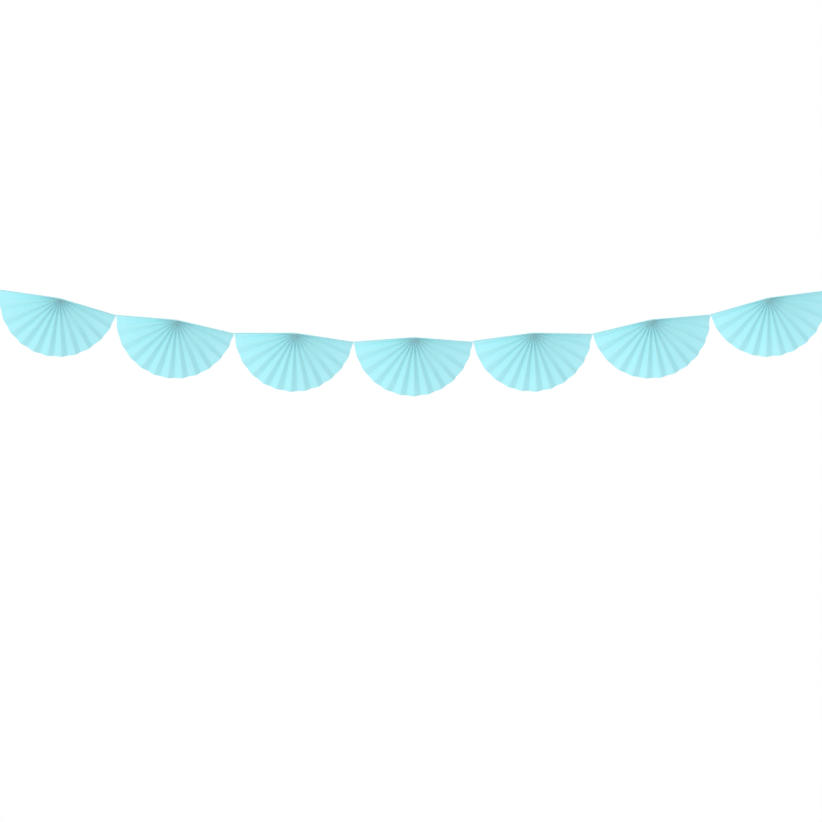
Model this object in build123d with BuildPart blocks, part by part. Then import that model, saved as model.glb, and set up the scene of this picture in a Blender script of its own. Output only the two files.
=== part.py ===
# Paper rosette garland: half rosettes of pleated paper, side by side on one cord.
# Millimetres. X runs along the garland, Y from front to back, Z up. The origin is the middle of its box.
import math
import os

from build123d import *

os.makedirs("parts", exist_ok=True)

# One half rosette, a sheet folded to and fro and gathered at its hub
rosette_radius = 211.0
hub_radius = 2.6
pleat_depth = 9.0
hub_pleat_depth = 4.5
gather_share = 0.18
valley_setback = 3.2
paper_thickness = 0.2
pleat_count = 12
edge_drop_angle = 5.1
station_shares = (0.0, 0.04, 0.1, 0.18, 0.3, 0.46, 0.64, 0.82, 1.0)
flat_share = 1e-9

# The row of rosettes, which hangs as a chain of equal links
rosettes_each_side = 3
tip_gap = 8.0
link_slope_share = 0.0743

# The cord along the top edges, plain and flat-sided where it lies glued, and the loops that it ends in
cord_diameter = 3.5
cord_sides = 8
hub_bend_radius = 10.0
bend_run_share = 0.45
end_run = 18.0
knot_length = 11.0
knot_diameter = 9.6
knot_bevel = 2.6
loop_radius = 11.0
loop_reach = 27.0
strand_start_share = 0.12

pleat_angle = (180 - 2 * edge_drop_angle) / pleat_count
panel_angle = pleat_angle / 2
crease_count = 2 * pleat_count + 1
edge_drop = math.radians(edge_drop_angle)
half_chord = rosette_radius * math.cos(edge_drop)
hub_rise = rosette_radius * math.sin(edge_drop)
link_length = 2 * half_chord + tip_gap


def on_ray(angle, radius, depth, outward):
    """A point at a radius from the hub, on a ray turned by an angle from straight down towards +X."""
    turn = math.radians(angle)
    across = Vector(math.cos(turn), 0, math.sin(turn)) * outward
    return Vector(math.sin(turn), 0, -math.cos(turn)) * radius + across + Vector(0, depth, 0)


def crease_angle(crease):
    return (crease - pleat_count) * panel_angle


def station_radius(crease, share):
    rim = rosette_radius - valley_setback * (crease % 2)
    return hub_radius + (rim - hub_radius) * share


def depth_at(share):
    """The pleats are gathered flatter at the hub and reach their full depth a little further out."""
    return hub_pleat_depth + (pleat_depth - hub_pleat_depth) * min(1, share / gather_share)


def crease_points(crease, share):
    """The front and the back point of a crease. Even creases are ridges in front, odd ones valleys behind."""
    spread = 2 * station_radius(0, share) * math.sin(math.radians(panel_angle / 2))
    depth = depth_at(share)
    half_thickness = paper_thickness * math.hypot(spread, depth) / spread / 2
    middle = depth / 2 if crease % 2 else -depth / 2
    radius = station_radius(crease, share)
    front = on_ray(crease_angle(crease), radius, middle - half_thickness, 0)
    back = on_ray(crease_angle(crease), radius, middle + half_thickness, 0)
    return front, back


def flap_points(crease, share):
    """The end flap goes straight back from an end ridge: its outer front, outer back and inner back points."""
    outward = math.copysign(paper_thickness, crease_angle(crease))
    angle, radius = crease_angle(crease), station_radius(crease, share)
    front = crease_points(crease, share)[0].Y
    behind = depth_at(share) / 2
    corners = ((front, outward), (behind, outward), (behind, 0))
    return [on_ray(angle, radius, depth, across) for depth, across in corners]


def outline(share):
    """The closed outline of the folded sheet at one station, front first and then back again behind."""
    fronts, backs = zip(*(crease_points(crease, share) for crease in range(crease_count)))
    left_front, left_back, left_inner = flap_points(0, share)
    right_front, right_back, right_inner = flap_points(crease_count - 1, share)
    right = [right_front, right_back, right_inner]
    return [left_front, *fronts, *right, *reversed(backs), left_inner, left_back]


def flat_face(points):
    return Face(Wire.make_polygon(points, close=True))


def cord_sketch(start, towards):
    """The cord's section, with one flat side facing up and one facing down."""
    with BuildSketch(Plane(origin=start, x_dir=(0, 1, 0), z_dir=towards)) as section:
        RegularPolygon(cord_diameter / 2, cord_sides, major_radius=False, rotation=180 / cord_sides)
    return section.sketch


def end_faces(share, flip):
    """The cut edge of the sheet, at its hub or at its rim: one face for each panel and each flap."""
    pairs = [crease_points(crease, share) for crease in range(crease_count)]
    corners = [[a[0], b[0], b[1], a[1]] for a, b in zip(pairs, pairs[1:])]
    for crease in (0, crease_count - 1):
        outer_front, outer_back, inner_back = flap_points(crease, share)
        corners.append([outer_front, *pairs[crease], inner_back, outer_back])
    return [flat_face(points[::flip]) for points in corners]


# Both sides of a twisted panel are split along the same diagonal, which keeps its walls apart
sheet_faces = end_faces(station_shares[0], 1) + end_faces(station_shares[-1], -1)
for inner_share, outer_share in zip(station_shares, station_shares[1:]):
    inner, outer = outline(inner_share), outline(outer_share)
    for here in range(len(inner)):
        there = (here + 1) % len(inner)
        a, b, c, d = inner[here], outer[here], outer[there], inner[there]
        twist = abs((b - a).cross(c - a).normalized().dot((d - a).normalized()))
        in_front = here < len(inner) // 2
        if twist < flat_share:
            sheet_faces.append(flat_face([a, b, c, d]))
        elif in_front:
            sheet_faces += [flat_face([a, b, c]), flat_face([a, c, d])]
        else:
            sheet_faces += [flat_face([a, b, d]), flat_face([b, c, d])]
with BuildPart() as sheet:
    add(Solid(Shell(sheet_faces)))

# Middles of the links and their slopes, from left to right
slopes = [math.atan(k * link_slope_share) for k in range(-rosettes_each_side, rosettes_each_side + 1)]
runs = [Vector(math.cos(slope), 0, math.sin(slope)) * link_length for slope in slopes]
middle_link = runs[rosettes_each_side]
chain_start = -middle_link / 2
for run in runs[:rosettes_each_side]:
    chain_start = chain_start - run
end_slope = math.atan((rosettes_each_side + 1 / 2) * link_slope_share)
away = Vector(-math.cos(end_slope), 0, math.sin(end_slope))

# The cord in one rosette: left tip, hub and right tip, seen from the middle of the link
cord_lift = paper_thickness + cord_diameter / 2
tip_out = half_chord + cord_lift * math.sin(edge_drop)
tip_up = cord_lift * math.cos(edge_drop)
hub_up = hub_rise + cord_lift / math.cos(edge_drop)


def in_link(number, along, up):
    slope = slopes[number]
    middle = sum(runs[:number], chain_start) + runs[number] / 2
    level = Vector(math.cos(slope), 0, math.sin(slope))
    upright = Vector(-math.sin(slope), 0, math.cos(slope))
    return middle + level * along + upright * up


left_tip = in_link(0, -tip_out, tip_up)
knot_start = left_tip + away * end_run
knot_middle = knot_start + away * (knot_length / 2)
loop_middle = knot_middle + away * loop_reach
top = loop_middle.Z + loop_radius + cord_diameter / 2
bottom = hub_rise - rosette_radius
to_origin = Vector(0, 0, -(top + bottom) / 2)

for number, slope in enumerate(slopes):
    middle = in_link(number, 0, hub_rise) + to_origin
    with BuildPart() as rosette:
        with Locations(Location(middle, (0, -math.degrees(slope), 0))):
            add(sheet.part)
    rosette.part.label = f"rosette_{number + 1}"
    export_step(rosette.part, f"parts/rosette_{number + 1}.step")

# The cord's route over every tip and hub, with a bend at each
route = [knot_start]
for number in range(len(slopes)):
    route += [in_link(number, -tip_out, tip_up), in_link(number, 0, hub_up), in_link(number, tip_out, tip_up)]
route.append(Vector(-knot_start.X, 0, knot_start.Z))
route = [point + to_origin for point in route]
bends = []
for before, here, after in zip(route, route[1:], route[2:]):
    half_turn = math.radians((here - before).get_angle(after - here)) / 2
    shorter = min((here - before).length, (after - here).length)
    over_hub = len(bends) % 3 == 1
    bends.append(hub_bend_radius if over_hub else bend_run_share * shorter / math.tan(half_turn))
with BuildPart() as hanging_cord:
    with BuildLine() as cord_line:
        FilletPolyline(*route, radius=bends)
    cord_wire = cord_line.wires()[0]
    sweep(cord_sketch(cord_wire @ 0, cord_wire % 0), path=cord_wire)
hanging_cord.part.label = "hanging_cord"
export_step(hanging_cord.part, "parts/hanging_cord.step")
cord_section = cord_sides * math.tan(math.pi / cord_sides) * cord_diameter**2 / 4
print("bend radii of the cord", [round(bend, 1) for bend in bends])
print("cord volume", hanging_cord.part.volume, "section by length", cord_section * cord_wire.length)

# A knot and a loop at the left end, lying along the cord's last run
tangent_angle = math.acos(loop_radius / loop_reach)
beside = Vector(-away.Z, 0, away.X)


def on_loop(angle):
    return loop_middle + to_origin + (away * -math.cos(angle) + beside * math.sin(angle)) * loop_radius


touch_one, touch_two, far_point = on_loop(tangent_angle), on_loop(-tangent_angle), on_loop(math.pi)
strand_one = (knot_middle + to_origin) * (1 - strand_start_share) + touch_one * strand_start_share
strand_two = (knot_middle + to_origin) * (1 - strand_start_share) + touch_two * strand_start_share
with BuildPart() as left_hanging_loop:
    with BuildLine() as loop_line:
        Line(strand_one, touch_one)
        ThreePointArc(touch_one, far_point, touch_two)
        Line(touch_two, strand_two)
    sweep(cord_sketch(strand_one, touch_one - strand_one), path=loop_line.wires()[0])
    with BuildPart(mode=Mode.PRIVATE) as knot:
        with Locations(Plane(origin=knot_middle + to_origin, z_dir=away)):
            Cylinder(knot_diameter / 2, knot_length)
        chamfer(knot.edges().filter_by(GeomType.CIRCLE), knot_bevel)
    add(knot.part)
left_hanging_loop.part.label = "left_hanging_loop"
export_step(left_hanging_loop.part, "parts/left_hanging_loop.step")

with BuildPart() as right_hanging_loop:
    mirror(left_hanging_loop.part, about=Plane.YZ)
right_hanging_loop.part.label = "right_hanging_loop"
export_step(right_hanging_loop.part, "parts/right_hanging_loop.step")
print("link length", link_length, "loop middle", loop_middle + to_origin, "left tip", left_tip + to_origin)
print("middle hub", in_link(rosettes_each_side, 0, hub_rise) + to_origin)
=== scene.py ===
import math

import bmesh
import bpy
from mathutils import Matrix, Vector, noise


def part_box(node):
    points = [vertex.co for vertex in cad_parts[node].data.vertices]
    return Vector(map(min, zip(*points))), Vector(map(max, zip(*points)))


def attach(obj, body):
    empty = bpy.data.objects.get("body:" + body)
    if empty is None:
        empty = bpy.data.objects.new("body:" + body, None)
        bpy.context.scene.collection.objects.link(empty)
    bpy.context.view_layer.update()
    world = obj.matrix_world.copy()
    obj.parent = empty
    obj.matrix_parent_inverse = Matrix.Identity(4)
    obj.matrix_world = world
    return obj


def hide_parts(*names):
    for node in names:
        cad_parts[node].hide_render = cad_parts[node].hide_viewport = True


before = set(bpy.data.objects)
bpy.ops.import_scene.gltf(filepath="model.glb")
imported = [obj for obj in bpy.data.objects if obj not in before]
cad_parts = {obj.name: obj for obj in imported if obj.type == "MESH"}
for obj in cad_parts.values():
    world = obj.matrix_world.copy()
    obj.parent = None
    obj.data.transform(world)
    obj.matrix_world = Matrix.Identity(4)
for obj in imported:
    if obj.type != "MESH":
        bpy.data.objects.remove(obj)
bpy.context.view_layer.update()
print("frame loaded:", ", ".join(sorted(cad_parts)))


# one wrapped socket, so that shader maths reads as plain expressions
class Wire:
    def __init__(self, shader, socket):
        self.shader = shader
        self.socket = socket

    def math(self, operation, other):
        return self.shader.node("ShaderNodeMath", {"operation": operation}, {0: self, 1: other})

    def __add__(self, other):
        return self.math("ADD", other)

    def __mul__(self, other):
        return self.math("MULTIPLY", other)

    __radd__ = __add__
    __rmul__ = __mul__


# the nodes of a material or of the world, up to the end node that they feed
class Shader:
    def __init__(self, owner, end="Principled BSDF"):
        owner.use_nodes = True
        self.tree = owner.node_tree
        self.end = self.tree.nodes[end]

    def node(self, kind, settings, sockets, output=0):
        made = self.tree.nodes.new(kind)
        for name, value in settings.items():
            if name == "stops":
                stops = made.color_ramp.elements
                while len(stops) < len(value):
                    stops.new(1.0)
                for stop, (at, colour) in zip(stops, value):
                    stop.position, stop.color = at, colour
            else:
                setattr(made, name, value)
        self.feed(made, sockets)
        return Wire(self, made.outputs[output])

    def feed(self, node, sockets):
        for name, value in sockets.items():
            if isinstance(value, Wire):
                self.tree.links.new(value.socket, node.inputs[name])
            else:
                node.inputs[name].default_value = value

    def mix(self, factor, one, two, blend="MIX"):
        settings = {"data_type": "RGBA", "blend_type": blend}
        sockets = {"Factor": factor, 6: one, 7: two}  # the colours among its sockets
        return self.node("ShaderNodeMix", settings, sockets, 2)

    def mapRange(self, value, span, to=(0.0, 1.0), kind="LINEAR"):
        return self.node("ShaderNodeMapRange", {"interpolation_type": kind}, {
            "Value": value, "From Min": span[0], "From Max": span[1], "To Min": to[0], "To Max": to[1]})

    def noiseTexture(self, settings, stretch=(1, 1, 1), kind="Object"):
        place = self.node("ShaderNodeTexCoord", {}, {}, kind)
        place = self.node("ShaderNodeMapping", {}, {"Vector": place, "Scale": stretch})
        return self.node("ShaderNodeTexNoise", {}, {"Vector": place, **settings})


# uncoated paper: the dye is cloudy and worn pale at the creases; painted shade makes it lighter at the left
# end and darker to the right, darkest along the right end, as the light from the left falls, and darker
# towards the hub, where the crowded pleats shade each other
paperFinishAndPaintedShade = {
    # painted shade: the dye ramp along the sheet, lighter at the left end and darker to the right, darkest
    # along the right end
    "dyeWithPaintedSideShade": ((0.0, (0.455, 0.91, 0.98, 1)), (0.15, (0.438, 0.878, 0.948, 1)),
                 (0.5, (0.415, 0.83, 0.896, 1)), (0.65, (0.398, 0.793, 0.858, 1)),
                 (0.968, (0.394, 0.786, 0.85, 1)), (0.99, (0.355, 0.73, 0.795, 1))),
    # painted shade: darker and greyer towards the hub, where the crowded pleats shade each other
    "paintedHubShade": ((0.0, (0.98, 0.87, 0.85, 1)), (0.07, (0.83, 0.77, 0.755, 1)),
                (0.12, (0.79, 0.805, 0.80, 1)), (0.3, (0.828, 0.906, 0.896, 1)),
                (0.6, (0.917, 0.967, 0.962, 1)), (0.9, (1.0, 1.0, 1.0, 1))),
    "paleDye": (0.47, 0.90, 0.955, 1),
    "cloudiness": 0.35,
    "cloud": {"Scale": 9.0, "Detail": 4.0, "Roughness": 0.6},
    "fibre": {"Scale": 1.0, "Detail": 5.0, "Roughness": 0.65},
    "fibreStretch": (17.0, 60.0, 1.0),
    "grain": {"Scale": 1500.0, "Detail": 3.0, "Roughness": 0.6},
    "cloudInDye": 0.5,
    "fibreInDye": 0.3,
    "grainInDye": 0.2,
    "dyeSpan": (0.35, 0.65),
    "wornDye": (0.62, 0.93, 0.96, 1),
    "wornWidth": 0.0011,
    "wornFrom": (0.015, 0.06),
    "wear": 0.22,
    "leastWear": 0.5,
    "fibreInTooth": 0.5,
    "grainInTooth": 0.5,
    "tooth": 0.3,
    "toothHeight": 0.0003,
    "roughness": 0.82,
    "roughnessSpread": 0.12,
    "specular": 0.2,
}


def makePaper():
    s = paperFinishAndPaintedShade
    material = bpy.data.materials.new("dyed_paper_painted_shade")
    shader = Shader(material)
    sheet = shader.node("ShaderNodeTexCoord", {}, {}, "UV")
    panels = shader.node("ShaderNodeSeparateXYZ", {}, {"Vector": sheet}, 0)  # counted from the left end
    fromHub = shader.node("ShaderNodeSeparateXYZ", {}, {"Vector": sheet}, 1)  # metres
    cloud = shader.noiseTexture(s["cloud"])
    fibre = shader.noiseTexture(s["fibre"], s["fibreStretch"], "UV")
    grain = shader.noiseTexture(s["grain"])
    mixed = cloud * s["cloudInDye"] + fibre * s["fibreInDye"] + grain * s["grainInDye"]
    spread = shader.mapRange(mixed, s["dyeSpan"], (0.0, s["cloudiness"]))
    rightward = panels * (1 / panelCount)
    # painted shade from the left end to the right end, standing in for the light from the left
    dye = shader.node("ShaderNodeValToRGB", {"stops": s["dyeWithPaintedSideShade"]}, {"Fac": rightward})
    dye = shader.mix(spread, dye, s["paleDye"])
    outward = fromHub * (1 / rosetteFold["radius"])
    # painted shade towards the hub, multiplied into the dye
    paintedHubShadeColour = shader.node("ShaderNodeValToRGB", {"stops": s["paintedHubShade"]}, {"Fac": outward})
    dye = shader.mix(1.0, dye, paintedHubShadeColour, "MULTIPLY")
    toCrease = panels.math("PINGPONG", 0.5) * fromHub * panelAngle  # metres to the nearest crease
    worn = shader.mapRange(toCrease, (0.0, s["wornWidth"]), (s["wear"], 0.0), "SMOOTHSTEP")
    clear = shader.mapRange(fromHub, s["wornFrom"], kind="SMOOTHSTEP")
    dye = shader.mix(worn * clear * (fibre + s["leastWear"]), dye, s["wornDye"])
    height = fibre * s["fibreInTooth"] + grain * s["grainInTooth"]
    tooth = shader.node("ShaderNodeBump", {}, {
        "Height": height, "Strength": s["tooth"], "Distance": s["toothHeight"]})
    roughness = fibre * s["roughnessSpread"] + (s["roughness"] - s["roughnessSpread"] / 2)
    # the base colour carries the dye with its painted side shade and painted hub shade
    shader.feed(shader.end, {
        "Base Color": dye, "Roughness": roughness, "Normal": tooth, "Specular IOR Level": s["specular"]})
    return material


# twisted paper cord in about the same dye, with pale flecks
cordFinish = {
    "dye": (0.42, 0.86, 0.91, 1),
    "paleDye": (0.48, 0.91, 0.95, 1),
    "fleck": {"Scale": 700.0, "Detail": 4.0, "Roughness": 0.7},
    "fleckSpan": (0.35, 0.65),
    "fuzz": 0.3,
    "fuzzHeight": 0.0003,
    "roughness": 0.88,
    "roughnessSpread": 0.1,
    "specular": 0.15,
}


def makeCordFinish():
    s = cordFinish
    material = bpy.data.materials.new("twisted_cord")
    shader = Shader(material)
    fleck = shader.noiseTexture(s["fleck"])
    dye = shader.mix(shader.mapRange(fleck, s["fleckSpan"]), s["dye"], s["paleDye"])
    fuzz = shader.node("ShaderNodeBump", {}, {
        "Height": fleck, "Strength": s["fuzz"], "Distance": s["fuzzHeight"]})
    roughness = fleck * s["roughnessSpread"] + (s["roughness"] - s["roughnessSpread"] / 2)
    shader.feed(shader.end, {
        "Base Color": dye, "Roughness": roughness, "Normal": fuzz, "Specular IOR Level": s["specular"]})
    return material


# the half rosette, folded from one sheet of paper
rosetteFold = {
    "radius": 0.211,
    "hubRadius": 0.001,
    "hubAside": 0.003,
    "hubSink": 0.002,
    "pleats": 12,
    "depth": 0.009,
    "hubDepth": 0.0015,
    "gatherShare": 0.26,
    "edgeDrop": 5.1,
    "valleySetback": 0.0032,
    "thickness": 0.0002,
    "sharpAngle": 55.0,
    "cutsAcrossPanel": 8,
    "cutsAlongCrease": 30,
    "hubCrowding": 1.5,
    "creaseCrowding": 0.8,
    "endTolerance": 0.001,
    "foldSharpness": 0.93,
    "spread": 0.9,
    "leftFlare": 0.0022,
    "rightFlare": 0.0042,
    # marks of the hand: most, then middle and reach by side (-1 left end, 1 right end) or share (hub to rim)
    "bow": {"most": 0.8, "side": (0.75, 0.4), "share": (1.0, 0.3)},
    "lean": {"most": 0.35, "side": (0.7, 0.4), "turnover": (0.72, 0.25)},
    "leftSqueeze": {"most": 2.7, "side": (-0.9, 0.25)},
    "leftEven": {"most": 0.45, "side": (-0.75, 0.4)},
    "slack": {"most": 0.8, "side": (0.58, 0.34), "share": (0.45, 0.25)},
    "waist": {"most": 0.3, "share": (0.35, 0.22)},
    # strays that differ from rosette to rosette
    "angleStray": {"most": 0.5, "pace": 0.45, "apart": 5.7, "layer": 1.0},
    "depthStray": {"most": 0.0012, "pace": 0.5, "apart": 9.2, "layer": 4.0},
    "rimStray": {"most": 0.0008, "pace": 0.5, "apart": 3.1, "layer": 7.0},
    "crinkle": {"most": 0.0005, "pace": 22, "apart": 4.3},
}

# the row of rosettes hangs as a chain of equal links, and each rosette is turned a little in its link
chain = {
    "eachSide": 3,
    "tipGap": 0.008,
    "slopeStep": 0.0743,
    "strayTurns": (-0.2, 0.4, 0.0, 0.0, 0.8, -0.8, 0.9),  # degrees, clockwise from the front
}

edgeDrop = math.radians(rosetteFold["edgeDrop"])
halfSpan = math.pi / 2 - edgeDrop
panelCount = 2 * rosetteFold["pleats"]
panelAngle = 2 * halfSpan / panelCount
halfChord = rosetteFold["radius"] * math.cos(edgeDrop)
hubRise = rosetteFold["radius"] * math.sin(edgeDrop)
linkLength = 2 * halfChord + chain["tipGap"]
middleName = "rosette_%d" % (chain["eachSide"] + 1)
middleHub = Vector((0, 0, Vector(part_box(middleName)[0]).z + rosetteFold["radius"]))

paper = makePaper()
cordYarn = makeCordFinish()
print("finishes made")


def linkPlaces():
    eachSide = chain["eachSide"]
    slopes = [math.atan(k * chain["slopeStep"]) for k in range(-eachSide, eachSide + 1)]
    runs = [Vector((math.cos(slope), 0, math.sin(slope))) * linkLength for slope in slopes]
    start = middleHub - Vector((0, 0, hubRise)) - sum(runs[:eachSide], runs[eachSide] / 2)
    places = []
    for slope, run, stray in zip(slopes, runs, chain["strayTurns"]):
        turn = math.radians(stray) - slope
        places.append(Matrix.Translation(start + run / 2) @ Matrix.Rotation(turn, 4, "Y"))
        start = start + run
    return places


def depthAt(share):
    s = rosetteFold
    return s["hubDepth"] + (s["depth"] - s["hubDepth"]) * min(1.0, share / s["gatherShare"])


# how far a mark of the hand acts at a place, fading away from its middle
def handMark(name, **place):
    mark = rosetteFold[name]
    amount = mark["most"]
    for way, value in place.items():
        middle, reach = mark[way]
        amount *= math.exp(-((value - middle) / reach) ** 2)
    return amount


def strayAt(name, along, number):
    stray = rosetteFold[name]
    return stray["most"] * noise.noise((along * stray["pace"], number * stray["apart"], stray["layer"]))


def foldPoint(flat, number):
    s = rosetteFold
    share = (flat.length - s["hubRadius"]) / (s["radius"] - s["hubRadius"])
    share = max(0.0, share) ** s["hubCrowding"]  # more points where the pleats crowd at the hub
    along = (math.atan2(flat.x, -flat.z) + halfSpan) / panelAngle  # counts panels from the left end
    panel = min(math.floor(along), panelCount - 1)
    across = 2 * math.pi * (along - panel)
    along -= s["creaseCrowding"] * math.sin(across) / (2 * math.pi)  # more points near the creases
    side = along / s["pleats"] - 1
    fade = max(0.0, min(1.0, along, panelCount - along))  # both ends stay straight under the cord
    fold = math.asin(s["foldSharpness"] * math.cos(math.pi * along)) / math.asin(s["foldSharpness"])
    bowed = (2 * (1 - along + panel) ** 2 - 1) * (-1) ** panel  # steepest just after each crease
    height = fold + (bowed - fold) * handMark("bow", side=side, share=share)

    # the first pleats are narrow and even, and on the right half the valleys lean and the folds are flatter
    spread = s["spread"] - handMark("leftSqueeze", side=side)
    angle = side * halfSpan + math.radians(spread + strayAt("angleStray", along, number) * share) * fade
    middle, reach = s["lean"]["turnover"]
    lean = handMark("lean", side=side) * math.tanh((share - middle) / reach)
    angle -= lean * panelAngle * (1 - fold) / 2 * fade
    setback = s["valleySetback"] * (1 - handMark("leftEven", side=side))
    rim = s["radius"] - setback * (1 - fold) / 2
    rim += (s["rightFlare"] if side > 0 else s["leftFlare"]) * side ** 2
    rim += strayAt("rimStray", along, number) * fade
    radius = s["hubRadius"] + (rim - s["hubRadius"]) * share
    depth = depthAt(share) * (1 - handMark("slack", side=side, share=share))
    depth *= 1 - handMark("waist", share=share)
    depth += strayAt("depthStray", along, number) * share
    x = math.sin(angle) * radius + s["hubAside"] * (1 - share)
    z = -math.cos(angle) * radius - s["hubSink"] * (1 - share)
    y = -height * depth / 2
    crinkle = s["crinkle"]
    ripple = noise.noise(Vector((x, y, z)) * crinkle["pace"] + Vector((0, number * crinkle["apart"], 0)))
    y += crinkle["most"] * ripple * share * fade
    return Vector((x, y, z)), (along, share * s["radius"])


def foldRosette(number, place):
    s = rosetteFold
    mesh = bmesh.new()
    outward = Vector((-math.cos(edgeDrop), 0, -math.sin(edgeDrop)))  # down the left top edge
    ends = [mesh.verts.new(outward * s["hubRadius"]), mesh.verts.new(outward * s["radius"])]
    topEdge = mesh.edges.new(ends)
    bmesh.ops.subdivide_edges(mesh, edges=[topEdge], cuts=s["cutsAlongCrease"])
    bmesh.ops.spin(mesh, geom=mesh.verts[:] + mesh.edges[:], cent=(0, 0, 0), axis=(0, -1, 0), dvec=(0, 0, 0),
                   angle=2 * halfSpan, steps=panelCount * s["cutsAcrossPanel"], use_duplicate=False)
    sides = [[], []]
    for edge in mesh.edges:
        if edge.is_boundary:
            angles = [math.atan2(v.co.x, -v.co.z) for v in edge.verts]
            if min(abs(a) for a in angles) > halfSpan - s["endTolerance"]:
                sides[angles[0] > 0].append(edge)
    onSheet = {}
    for vert in mesh.verts:
        vert.co, onSheet[vert] = foldPoint(vert.co, number)
    for side, past in zip(sides, (-1, panelCount + 1)):
        grown = bmesh.ops.extrude_edge_only(mesh, edges=side)["geom"]  # the end flap goes straight back
        for vert in (v for v in grown if isinstance(v, bmesh.types.BMVert)):
            out = math.hypot(vert.co.x, vert.co.z)
            vert.co.y = depthAt(out / s["radius"]) / 2
            onSheet[vert] = (past, out)
    sheetPlace = mesh.loops.layers.uv.new("sheet")  # panels along the sheet, metres out from the hub
    for face in mesh.faces:
        face.smooth = True
        for corner in face.loops:
            corner[sheetPlace].uv = onSheet[corner.vert]
    area = sum(face.calc_area() for face in mesh.faces)
    bmesh.ops.recalc_face_normals(mesh, faces=mesh.faces)
    bmesh.ops.solidify(mesh, geom=mesh.faces[:], thickness=s["thickness"])
    for edge in mesh.edges:
        if edge.is_manifold and edge.calc_face_angle() > math.radians(s["sharpAngle"]):
            edge.smooth = False
    mesh.transform(place @ Matrix.Translation((0, 0, hubRise)))
    data = bpy.data.meshes.new("rosette%d" % number)
    mesh.to_mesh(data)
    mesh.free()
    piece = bpy.data.objects.new(data.name, data)
    bpy.context.collection.objects.link(piece)
    data.materials.append(paper)
    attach(piece, "root")
    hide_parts("rosette_%d" % number)
    return piece, area


places = linkPlaces()
rosettes = [foldRosette(number, place) for number, place in enumerate(places, 1)]
print("rosettes folded:", len(rosettes), "sheet area", round(rosettes[0][1], 4))


# the cord of three strands over every tip and hub, and its knots and loops
cordTwist = {
    "diameter": 0.0035,
    "strands": 3,
    "strandShare": 0.464,
    "strandRounding": 1,
    "lay": 0.012,
    "step": 0.0016,
    "leastSpan": 1e-9,
    "routeSteps": 12,
    "nearHub": 0.0105,
    "nearTip": 0.021,
    "endRun": 0.018,
    "knotLength": 0.011,
    "tuckShare": 0.6,
    "knotTurns": 3,
    "pointsPerTurn": 12,
    "knotRadius": 0.0031,
    "loopRadius": 0.011,
    "loopReach": 0.027,
    "loopPoints": 9,
}


def smoothRoute(name, points):
    curve = bpy.data.curves.new(name, "CURVE")
    curve.dimensions = "3D"
    spline = curve.splines.new("NURBS")
    spline.points.add(len(points) - 1)
    for at, point in zip(spline.points, points):
        at.co = (*point, 1)
    spline.order_u = 3
    spline.use_endpoint_u = True
    spline.resolution_u = cordTwist["routeSteps"]
    carrier = bpy.data.objects.new(name, curve)
    mesh = bpy.data.meshes.new_from_object(carrier)
    line = [v.co.copy() for v in mesh.vertices]
    bpy.data.meshes.remove(mesh)
    bpy.data.objects.remove(carrier)
    bpy.data.curves.remove(curve)
    return line


def evenSteps(line):
    lengths = [0.0]
    for a, b in zip(line, line[1:]):
        lengths.append(lengths[-1] + (b - a).length)
    count = max(2, round(lengths[-1] / cordTwist["step"]))
    out, k = [], 0
    for i in range(count + 1):
        at = lengths[-1] * i / count
        while k < len(line) - 2 and lengths[k + 1] < at:
            k += 1
        span = max(lengths[k + 1] - lengths[k], cordTwist["leastSpan"])
        out.append(line[k].lerp(line[k + 1], (at - lengths[k]) / span))
    return out


def twistStrands(name, routes):
    s = cordTwist
    strandRadius = s["diameter"] / 2 * s["strandShare"]
    offset = s["diameter"] / 2 - strandRadius
    curve = bpy.data.curves.new(name, "CURVE")
    curve.dimensions = "3D"
    curve.bevel_depth = strandRadius
    curve.bevel_resolution = s["strandRounding"]
    curve.use_fill_caps = True
    for route in routes:
        line = evenSteps(route)
        side = Vector((0, 1, 0))
        frames = []
        for i, point in enumerate(line):
            ahead = (line[min(i + 1, len(line) - 1)] - line[max(i - 1, 0)]).normalized()
            side = (side - ahead * side.dot(ahead)).normalized()
            frames.append((point, side.copy(), ahead.cross(side)))
        for strand in range(s["strands"]):
            spline = curve.splines.new("POLY")
            spline.points.add(len(frames) - 1)
            for i, (point, one, two) in enumerate(frames):
                turn = 2 * math.pi * (i * s["step"] / s["lay"] + strand / s["strands"])
                spline.points[i].co = (*(point + (one * math.cos(turn) + two * math.sin(turn)) * offset), 1)
    carrier = bpy.data.objects.new(name + "Curve", curve)
    data = bpy.data.meshes.new_from_object(carrier)
    data.name = name
    bpy.data.objects.remove(carrier)
    bpy.data.curves.remove(curve)
    data.materials.clear()
    data.materials.append(cordYarn)
    for face in data.polygons:
        face.use_smooth = True
    piece = bpy.data.objects.new(name, data)
    bpy.context.collection.objects.link(piece)
    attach(piece, "root")
    return piece


def cordRoute():
    s = cordTwist
    lift = rosetteFold["thickness"] + s["diameter"] / 2
    tipOut, tipUp = halfChord + lift * math.sin(edgeDrop), lift * math.cos(edgeDrop)
    hub = Vector((rosetteFold["hubAside"], 0, hubRise - rosetteFold["hubSink"] + lift / math.cos(edgeDrop)))
    halves = []
    for way in (-1, 1):
        tip = Vector((way * tipOut, 0, tipUp))
        down = (tip - hub).normalized()
        halves.append([hub + down * s["nearHub"], tip - down * s["nearTip"], tip])
    route = []
    for place in places:
        route += [place @ p for p in halves[0][::-1] + [hub] + halves[1]]
    slope = math.atan((chain["eachSide"] + 0.5) * chain["slopeStep"])
    away = Vector((-math.cos(slope), 0, math.sin(slope)))
    knotStart = route[0] + away * s["endRun"]
    start = knotStart + away * (s["knotLength"] * s["tuckShare"])  # the end is tucked into the knot
    return [start] + route + [Vector((-start.x, 0, start.z))], away, knotStart


route, away, knotStart = cordRoute()
cord = twistStrands("hangingCord", [smoothRoute("cordLine", route)])
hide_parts("hanging_cord")
print("cord twisted:", len(cord.data.polygons), "faces")


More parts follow.
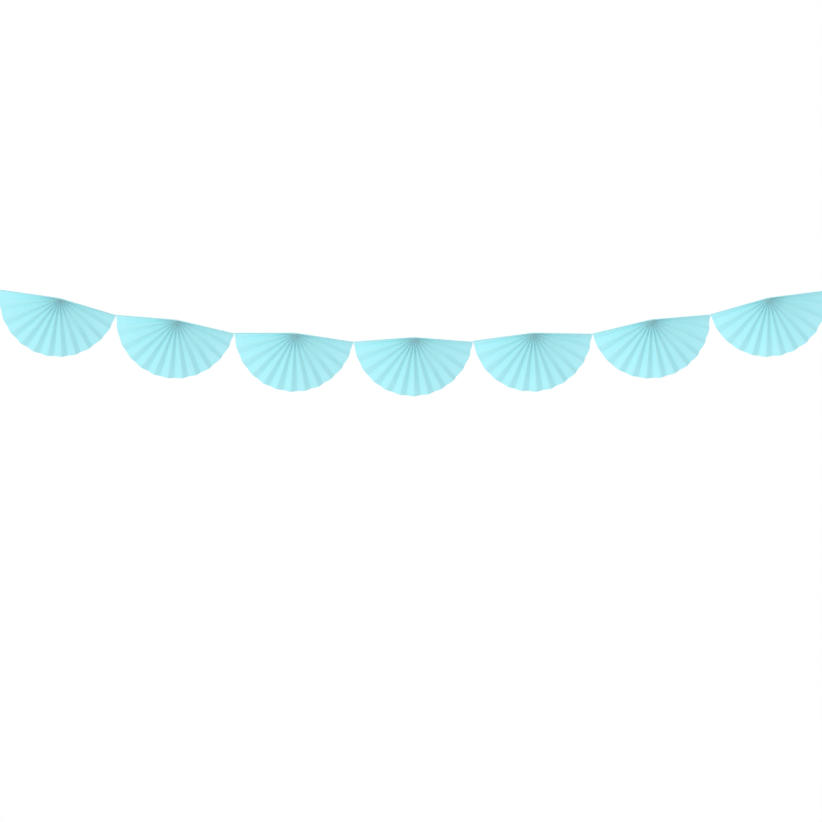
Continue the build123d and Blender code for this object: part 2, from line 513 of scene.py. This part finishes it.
def tieLoop(name, node, mirrored):
    s = cordTwist
    beside = Vector((-away.z, 0, away.x))
    knotMiddle = knotStart + away * (s["knotLength"] / 2)
    loopMiddle = knotMiddle + away * s["loopReach"]
    loop = [knotMiddle]
    opening = math.acos(s["loopRadius"] / s["loopReach"])
    for i in range(s["loopPoints"]):
        turn = opening + (2 * math.pi - 2 * opening) * i / (s["loopPoints"] - 1)
        loop.append(loopMiddle + (away * -math.cos(turn) + beside * math.sin(turn)) * s["loopRadius"])
    loop.append(knotMiddle)
    wraps = []
    wrapCount = s["knotTurns"] * s["pointsPerTurn"]
    for i in range(wrapCount + 1):
        turn = 2 * math.pi * i / s["pointsPerTurn"]
        along = (i / wrapCount - 0.5) * (s["knotLength"] - s["diameter"])
        ring = beside * math.cos(turn) + Vector((0, math.sin(turn), 0))
        wraps.append(knotMiddle + away * along + ring * s["knotRadius"])
    routes = [smoothRoute("loopLine", loop), smoothRoute("knotLine", wraps)]
    if mirrored:
        routes = [[Vector((-p.x, p.y, p.z)) for p in line] for line in routes]
    piece = twistStrands(name, routes)
    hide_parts(node)
    return piece


loops = [tieLoop("leftHangingLoop", "left_hanging_loop", False),
         tieLoop("rightHangingLoop", "right_hanging_loop", True)]
print("end loops tied:", len(loops))

# studio: white ground, soft light from the left, a like lamp behind for the back, and a low pale floor
studio = {
    "floorDrop": 2.1,
    "floorSide": (16.0, 8.0),
    "floorForward": 1.2,
    "floorColour": (0.93, 0.93, 0.93, 1),
    "floorRoughness": 0.9,
    "floorFade": (2.4, 3.9),
    "white": (1, 1, 1, 1),
    "skyLevel": 0.845,
    "groundLevel": 1.0,
    "lampLevel": 0.27,
    "lampSoftness": 35.0,
    "lamps": {"key": (52.0, 2.0), "backKey": (225.0, 8.0)},
}


def layFloor():
    s = studio
    middle = (0, -s["floorForward"], -s["floorDrop"])
    mesh = bmesh.new()
    bmesh.ops.create_grid(mesh, x_segments=1, y_segments=1, size=0.5)
    bmesh.ops.scale(mesh, vec=(*s["floorSide"], 1), verts=mesh.verts)
    bmesh.ops.translate(mesh, vec=middle, verts=mesh.verts)
    data = bpy.data.meshes.new("floor")
    mesh.to_mesh(data)
    mesh.free()
    floor = bpy.data.objects.new("floor", data)
    bpy.context.collection.objects.link(floor)
    material = bpy.data.materials.new("pale_floor")
    shader = Shader(material)
    place = shader.node("ShaderNodeTexCoord", {}, {}, "Object")
    out = shader.node("ShaderNodeVectorMath", {"operation": "DISTANCE"}, {0: place, 1: middle}, "Value")
    fade = shader.mapRange(out, s["floorFade"], (1.0, 0.0), "SMOOTHSTEP")
    shader.feed(shader.end, {"Base Color": s["floorColour"], "Roughness": s["floorRoughness"], "Alpha": fade})
    data.materials.append(material)


def lightStudio():
    s = studio
    world = bpy.data.worlds.new("studio")
    bpy.context.scene.world = world
    shader = Shader(world, "World Output")
    shader.tree.nodes.remove(shader.tree.nodes["Background"])
    sky = shader.node("ShaderNodeBackground", {}, {"Color": s["white"], "Strength": s["skyLevel"]})
    ground = shader.node("ShaderNodeBackground", {}, {"Color": s["white"], "Strength": s["groundLevel"]})
    seen = shader.node("ShaderNodeLightPath", {}, {}, "Is Camera Ray")
    for name in ("Is Glossy Ray", "Is Transmission Ray"):
        seen = seen.math("MAXIMUM", shader.node("ShaderNodeLightPath", {}, {}, name))
    surround = shader.node("ShaderNodeMixShader", {}, {"Fac": seen, 1: sky, 2: ground})
    shader.feed(shader.end, {"Surface": surround})
    for name, turns in s["lamps"].items():
        lamp = bpy.data.lights.new(name, "SUN")
        lamp.energy = math.pi * s["lampLevel"]
        lamp.angle = math.radians(s["lampSoftness"])
        side, height = (math.radians(turn) for turn in turns)
        level = Vector((math.sin(side), math.cos(side), 0)) * math.cos(height)
        lit = bpy.data.objects.new(name, lamp)
        lit.rotation_euler = (level - Vector((0, 0, math.sin(height)))).to_track_quat("-Z", "Y").to_euler()
        bpy.context.collection.objects.link(lit)


# the camera stands straight in front, far back
viewpoint = {
    "distance": 12.0,
    "sensorWidth": 36,
    "metresPerPixel": 0.0035833,
    "photoSide": 822,
    "hubPixel": (413.0, 337.45),
}


def setCamera():
    s = viewpoint
    lens = bpy.data.cameras.new("camera")
    lens.sensor_width = s["sensorWidth"]
    lens.lens = s["sensorWidth"] * s["distance"] / (s["photoSide"] * s["metresPerPixel"])
    camera = bpy.data.objects.new("camera", lens)
    across = (s["photoSide"] / 2 - s["hubPixel"][0]) * s["metresPerPixel"]
    down = (s["photoSide"] / 2 - s["hubPixel"][1]) * s["metresPerPixel"]
    camera.location = (middleHub.x + across, -s["distance"], middleHub.z - down)
    camera.rotation_euler = (math.pi / 2, 0, 0)
    bpy.context.collection.objects.link(camera)
    bpy.context.scene.camera = camera


layFloor()
lightStudio()
setCamera()
bpy.context.scene.view_settings.view_transform = "Standard"
print("studio set")
